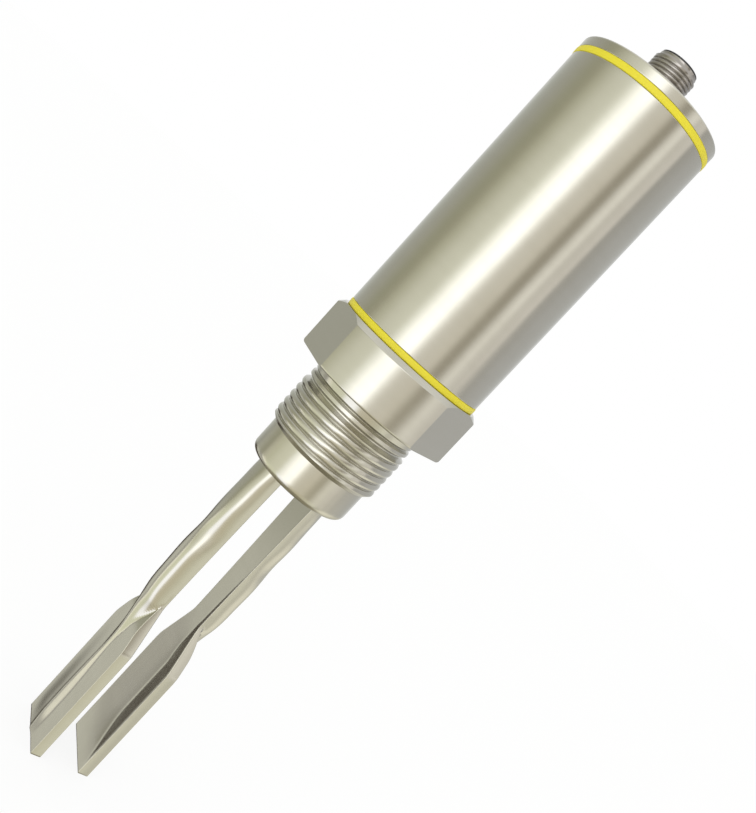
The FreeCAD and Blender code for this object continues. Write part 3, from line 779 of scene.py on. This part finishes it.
def moulded(name, tone, shade, roughness, grain=0.004, patch=90.0, speck=2200.0, **shine):
    """A rubber or plastic with soft patches of tone and the fine grain of its mould."""
    material = bpy.data.materials.new(name)
    material.use_nodes = True
    tree = material.node_tree
    tree.nodes.clear()
    clouds = place_node(tree, "ShaderNodeGroup", node_tree=cloudiness_group)
    clouds.inputs["Patch"].default_value = patch
    clouds.inputs["Speck"].default_value = speck
    colour = colour_mix(tree, clouds.outputs["Patches"], tone, shade)
    gloss = spread(tree, clouds.outputs["Specks"], roughness - 0.06, roughness + 0.06)
    bump = place_node(tree, "ShaderNodeBump", {"Height": clouds.outputs["Specks"], "Distance": grain * MM})
    body = place_node(tree, "ShaderNodeBsdfPrincipled", {
        "Base Color": colour, "Roughness": gloss, "Normal": bump.outputs[0], **shine,
    })
    place_node(tree, "ShaderNodeOutputMaterial", {"Surface": body.outputs[0]})
    return material


gasket_rubber = moulded("gasket_rubber", yellow, deep_yellow, 0.5)
for name in ("lower_gasket", "upper_gasket"):
    low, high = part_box(name)
    outline = rounded_outline([
        (gasket_bore, low.z, 0.0),
        (high.x, low.z, gasket_rounding),
        (high.x, high.z, gasket_rounding),
        (gasket_bore, high.z, 0.0),
    ])
    gasket = turned_piece(name + "_ring", outline)
    gasket.data.materials.append(gasket_rubber)
    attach(gasket, "root")
    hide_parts(name)


# Housing: a plain length of drawn stainless tube, cut square, its ends deburred and its outside
# ground round and round to a satin finish.
tube_low, tube_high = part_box("housing_tube")
tube_radius = tube_high.x
tube_wall = 1.5 * MM
tube_bore = tube_radius - tube_wall

housing_steel = machined_steel("housing_steel", steel_tone, steel_shade, 0.2)
housing_tube = turned_piece("housing_tube_drawn", rounded_outline([
    (tube_bore, tube_low.z, edge),
    (tube_radius, tube_low.z, edge),
    (tube_radius, tube_high.z, edge),
    (tube_bore, tube_high.z, edge),
]))
housing_tube.data.materials.append(housing_steel)
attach(housing_tube, "root")
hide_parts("housing_tube")


# Cap: a turned disc with a grooved spigot that enters the housing, faced on the lathe and
# chamfered at its edge. The plug connector passes through its middle.
cap_low, cap_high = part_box("top_cap")
upper_gasket_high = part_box("upper_gasket")[1]
cap_ring_low, cap_ring_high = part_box("upper_o_ring")
cap_bottom = upper_gasket_high.z
cap_radius = cap_high.x
cap_hole = 6.1 * MM
cap_thickness = 4.0 * MM
cap_underside = cap_high.z - cap_thickness
cap_skirt = spigot_radius - 3.6 * MM
cap_rounding = 0.55 * MM

cap_steel = machined_steel("cap_steel", steel_tone, steel_shade, 0.22)
top_cap = turned_piece("top_cap_turned", rounded_outline([
    (cap_hole, cap_underside, 0.0),
    (cap_skirt, cap_underside, 0.0),
    (cap_skirt, cap_low.z, edge),
    (spigot_radius, cap_low.z, edge),
    (spigot_radius, cap_ring_low.z, 0.0),
    (groove_radius, cap_ring_low.z, 0.0),
    (groove_radius, cap_ring_high.z, 0.0),
    (spigot_radius, cap_ring_high.z, 0.0),
    (spigot_radius, cap_bottom, 0.0),
    (cap_radius, cap_bottom, 0.15 * MM),
    (cap_radius, cap_high.z, cap_rounding),
    (cap_hole, cap_high.z, 0.0),
]))
top_cap.data.materials.append(cap_steel)
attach(top_cap, "root")
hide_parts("top_cap")


# Plug connector shell: turned brass with a bright nickel plate. Its flange sits on the cap, its
# barrel has the M12 by 1 thread for the cable's nut, and its shank goes down into the cap.
shell_low, shell_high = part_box("connector_shell")
shell_radius = 6.0 * MM
shell_bore = 5.25 * MM
shell_pitch = 1.0 * MM
shell_thread_depth = 0.61 * MM
flange_radius = shell_high.x
flange_top = cap_high.z + 1.8 * MM
nose_bottom = shell_high.z - 1.3 * MM
nose_step = 0.55 * MM
nose_radius = shell_radius - nose_step
connector_ring_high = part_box("connector_o_ring")[1]
shell_rows = 112

plated_shell = machined_steel(
    "plated_shell", (0.40, 0.38, 0.36, 1.0), (0.29, 0.27, 0.25, 1.0), 0.14, relief=0.002
)
shell_outline = rounded_outline([
    (nose_radius, nose_bottom + nose_step, 0.0),
    (nose_radius, shell_high.z, 0.15 * MM),
    (shell_bore, shell_high.z, 0.1 * MM),
    (shell_bore, shell_low.z, 0.1 * MM),
    (shell_radius, shell_low.z, edge),
    (shell_radius, connector_ring_high.z, 0.0),
    (connector_ring_high.x, connector_ring_high.z, 0.0),
    (connector_ring_high.x, cap_high.z, 0.0),
    (flange_radius, cap_high.z, 0.1 * MM),
    (flange_radius, flange_top, edge),
    (shell_radius, flange_top, 0.0),
])
for row in range(1, shell_rows):
    shell_outline.append(Vector((shell_radius, flange_top + (nose_bottom - flange_top) * row / shell_rows)))
shell_outline.append(Vector((shell_radius, nose_bottom)))
connector_shell = shape_by_nodes(turned_piece("connector_shell_turned", shell_outline, 128), thread_tree, {
    "Pitch": shell_pitch,
    "Crest Radius": shell_radius,
    "Depth": shell_thread_depth,
    "Low End": flange_top,
    "High End": nose_bottom,
    "Finish": plated_shell,
})
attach(connector_shell, "root")
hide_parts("connector_shell")


# Contact insert: a black moulded cup pressed into the shell, with a coding key on its wall. Four
# turned and gold plated pins stand in its floor.
pin_count = 4


def dress(material, *nodes):
    """Gives solids of the frame their finish."""
    for node in nodes:
        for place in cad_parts[node].material_slots:
            place.material = material


dress(moulded(
    "contact_plastic", (0.018, 0.018, 0.020, 1.0), (0.010, 0.010, 0.011, 1.0), 0.38
), "contact_carrier")
contact_gold = machined_steel(
    "contact_gold", (0.80, 0.60, 0.22, 1.0), (0.72, 0.52, 0.17, 1.0), 0.2, relief=0.001, stretch=0.0
)
dress(contact_gold, *(f"contact_pin_{number}" for number in range(1, pin_count + 1)))


# Connector lock nut: a flat nickel plated brass nut, screwed on the connector's shank from inside
# the cap.
dress(machined_steel(
    "nut_plating", (0.60, 0.58, 0.54, 1.0), (0.50, 0.48, 0.44, 1.0), 0.24, relief=0.003, stretch=0.3
), "connector_lock_nut")


# O rings: black rubber rings that seal collar, cap and connector. They are moulded, fitted dry into
# their grooves and squeezed by the housing.
dress(moulded(
    "seal_rubber", (0.022, 0.022, 0.022, 1.0), (0.014, 0.014, 0.015, 1.0), 0.45, grain=0.006
), "lower_o_ring", "upper_o_ring", "connector_o_ring")


# Drive stack's fasteners: a turned bolt stands on the diaphragm's boss, and its nut clamps the stack
# through a washer and a disc spring, all in plain steel.
fastener_steel = machined_steel(
    "fastener_steel", (0.46, 0.46, 0.46, 1.0), (0.36, 0.36, 0.37, 1.0), 0.3, relief=0.003, stretch=0.3
)
dress(fastener_steel, "stack_bolt", "stack_nut", "disc_spring", "pressure_washer")


# Piezo rings: two sintered ceramic rings with ground faces. One drives the fork and the other
# senses its swing.
dress(moulded(
    "piezo_ceramic", (0.42, 0.37, 0.29, 1.0), (0.35, 0.31, 0.24, 1.0), 0.5, grain=0.006,
    patch=420.0, speck=6000.0,
), "piezo_ring_drive", "piezo_ring_sense")


# Insulators: two white ceramic rings at the ends of the stack, fired and lapped flat. They keep the
# stack's voltage off the steel.
dress(moulded(
    "insulator_ceramic", (0.84, 0.84, 0.80, 1.0), (0.76, 0.76, 0.72, 1.0), 0.32, grain=0.002, patch=260.0
), "lower_insulator", "upper_insulator")


# Insulating sleeve: a thin white plastic tube round the bolt, extruded and cut to length. It centres
# the rings and keeps them from touching the bolt.
dress(moulded(
    "sleeve_plastic", (0.82, 0.82, 0.80, 1.0), (0.76, 0.76, 0.74, 1.0), 0.42, patch=200.0
), "insulating_sleeve")


# Electrodes: three rings of rolled brass foil between the piezo rings and the insulators. Each is
# stamped with a tab to which its lead is soldered.
dress(machined_steel(
    "electrode_brass", (0.72, 0.54, 0.22, 1.0), (0.58, 0.40, 0.15, 1.0), 0.28, across=900.0, along=900.0,
    relief=0.001, stretch=0.0,
), "electrode_drive", "electrode_common", "electrode_sense")


# Leads: thin stranded wires in coloured plastic. Three run from the stack to the board, and four
# from the board to the plug's pins.
lead_colours = {
    "piezo_lead_drive": (0.55, 0.03, 0.02),
    "piezo_lead_common": (0.02, 0.02, 0.02),
    "piezo_lead_sense": (0.75, 0.74, 0.70),
    "connector_lead_1": (0.20, 0.09, 0.04),
    "connector_lead_2": (0.74, 0.74, 0.72),
    "connector_lead_3": (0.03, 0.10, 0.45),
    "connector_lead_4": (0.02, 0.02, 0.02),
}
for node, colour in lead_colours.items():
    shade = [0.85 * part for part in colour]
    dress(moulded(node + "_plastic", (*colour, 1.0), (*shade, 1.0), 0.4, grain=0.002, patch=500.0), node)


# Lead guide: a brown silicone plug with three holes, moulded in one piece. It is pressed in above
# the stack and holds its leads apart.
dress(moulded(
    "guide_rubber", (0.34, 0.11, 0.07, 1.0), (0.27, 0.085, 0.05, 1.0), 0.55, grain=0.008
), "lead_guide")


# Board carrier: a black plastic cradle, moulded in one piece, that slides into the housing with the
# board.
dress(moulded(
    "carrier_plastic", (0.045, 0.045, 0.048, 1.0), (0.030, 0.030, 0.032, 1.0), 0.48, grain=0.01,
    speck=1500.0,
), "board_carrier")


# Main board: green lacquered glass laminate, cut to the carrier's width. The copper under the
# lacquer shows as darker patches.
dress(moulded(
    "board_laminate", (0.02, 0.22, 0.09, 1.0), (0.012, 0.12, 0.05, 1.0), 0.3, grain=0.003,
    patch=160.0, speck=900.0,
), "main_board")


# Headers: two moulded pin headers in pale plastic. They are soldered to the board where the stack's
# and the plug's leads end.
dress(moulded(
    "header_plastic", (0.74, 0.72, 0.62, 1.0), (0.68, 0.65, 0.55, 1.0), 0.42, patch=300.0
), "piezo_header", "connector_header")


# Transformer: a pressed ferrite core, ground on its mating faces, round a coil of enamelled copper
# wire. It stands on the board and steps up the drive voltage.
dress(moulded(
    "ferrite", (0.055, 0.055, 0.058, 1.0), (0.035, 0.035, 0.038, 1.0), 0.55, grain=0.01, patch=300.0
), "transformer_core")
dress(machined_steel(
    "winding_copper", (0.62, 0.24, 0.10, 1.0), (0.50, 0.18, 0.07, 1.0), 0.26, across=40.0, along=4200.0,
    relief=0.02, stretch=0.2,
), "transformer_winding")


# Metal cans: the smoothing capacitor and the crystal sit in drawn aluminium cans with a satin skin,
# soldered to the board by their wires.
dress(machined_steel(
    "can_aluminium", (0.66, 0.66, 0.68, 1.0), (0.58, 0.58, 0.60, 1.0), 0.3, relief=0.002, stretch=0.3
), "smoothing_capacitor", "crystal")


# Chips: the output transistor and the processor, soldered to the board in black moulded packages
# with a fine matt grain.
dress(moulded(
    "chip_plastic", (0.020, 0.020, 0.021, 1.0), (0.012, 0.012, 0.013, 1.0), 0.55, grain=0.008,
    patch=500.0, speck=4000.0,
), "output_transistor", "processor")
